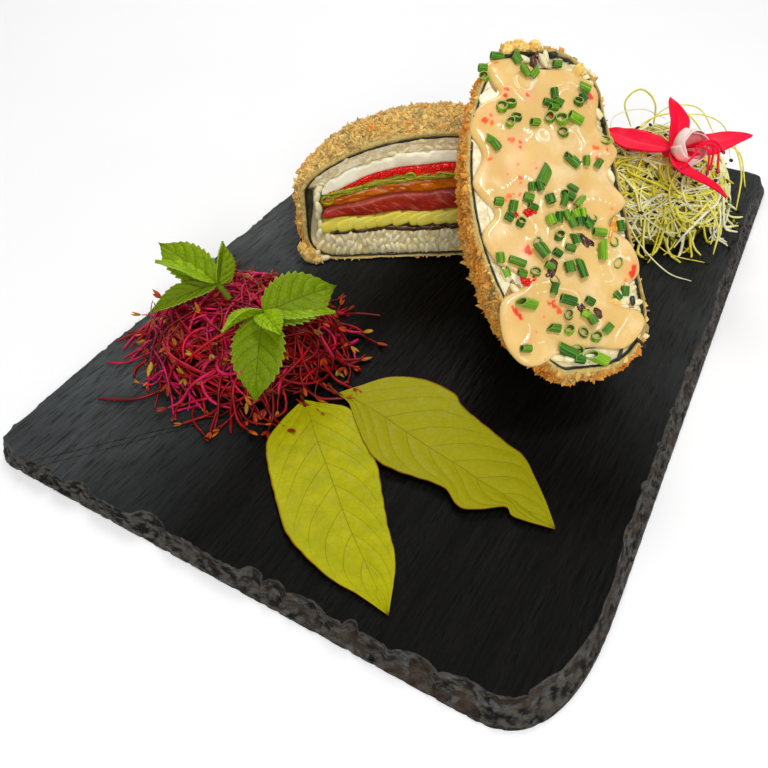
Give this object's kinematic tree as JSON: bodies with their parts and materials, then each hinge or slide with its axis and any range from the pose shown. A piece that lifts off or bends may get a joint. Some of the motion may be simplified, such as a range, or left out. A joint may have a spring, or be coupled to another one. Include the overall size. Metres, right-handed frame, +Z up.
{
  "type": "sushi burger",
  "caption": "Breadcrumbed rice burger cut in two: one half upright with its filling showing, one leaning with saucy cut face up, on a slate board with sprouts, mint, leaves and a flower.",
  "frame": {"origin": "middle of the slate board's underside, where its length and width axes cross", "axes": "+Z up, +Y along the board's long side away from the serving side, +X to the right"},
  "size_m": [0.1977, 0.298, 0.0939],
  "materials": {
    "slate": "near-black riven slate, matte with a soft sheen, chipped grey-brown edges",
    "panko_crust": "fried breadcrumbs, tan with browned tips and grey-green nori showing through",
    "nori": "black-green pressed seaweed sheet",
    "rice": "sticky cooked rice, moist and slightly translucent",
    "mushroom": "dark brown cooked strips, moist",
    "avocado": "pale yellow-green slices, waxy",
    "tuna": "dark red raw fish, moist, pale streaks",
    "orange_slice": "translucent orange-brown slice, moist",
    "seaweed_salad": "olive-green strands, oily",
    "red_roe": "bright red fine roe, glossy grains",
    "cream_cheese": "soft cream colour, satin",
    "sauce": "thick peach-yellow sauce, glossy",
    "flat_leaf": "yellow-green leaf, thin red-brown edge",
    "red_sprouts": "magenta and crimson stems with orange seed leaves",
    "pale_sprouts": "white and yellow-green stems with black seeds",
    "mint": "fresh green leaves with netted veins",
    "fuchsia_sepal": "hot pink-red, satin",
    "fuchsia_petal": "blush white, satin"
  },
  "bodies": {
    "root": {"slate_board": "slate", "back_panko_crust": "panko_crust", "back_nori": "nori", "back_bottom_rice": "rice", "back_mushroom": "mushroom", "back_avocado": "avocado", "back_tuna": "tuna", "back_orange_slice": "orange_slice", "back_seaweed_salad": "seaweed_salad", "back_red_roe": "red_roe", "back_cream_cheese": "cream_cheese", "back_top_rice": "rice", "front_panko_crust": "panko_crust", "front_nori": "nori", "front_bottom_rice": "rice", "front_mushroom": "mushroom", "front_avocado": "avocado", "front_tuna": "tuna", "front_orange_slice": "orange_slice", "front_seaweed_salad": "seaweed_salad", "front_red_roe": "red_roe", "front_cream_cheese": "cream_cheese", "front_top_rice": "rice", "front_sauce": "sauce", "leaf_left": "flat_leaf", "leaf_right": "flat_leaf", "red_sprouts": "red_sprouts", "pale_sprouts": "pale_sprouts", "mint_sprig_left": "mint", "mint_sprig_right": "mint", "fuchsia_sepals": "fuchsia_sepal", "fuchsia_corolla": "fuchsia_petal"}
  },
  "joints": []
}
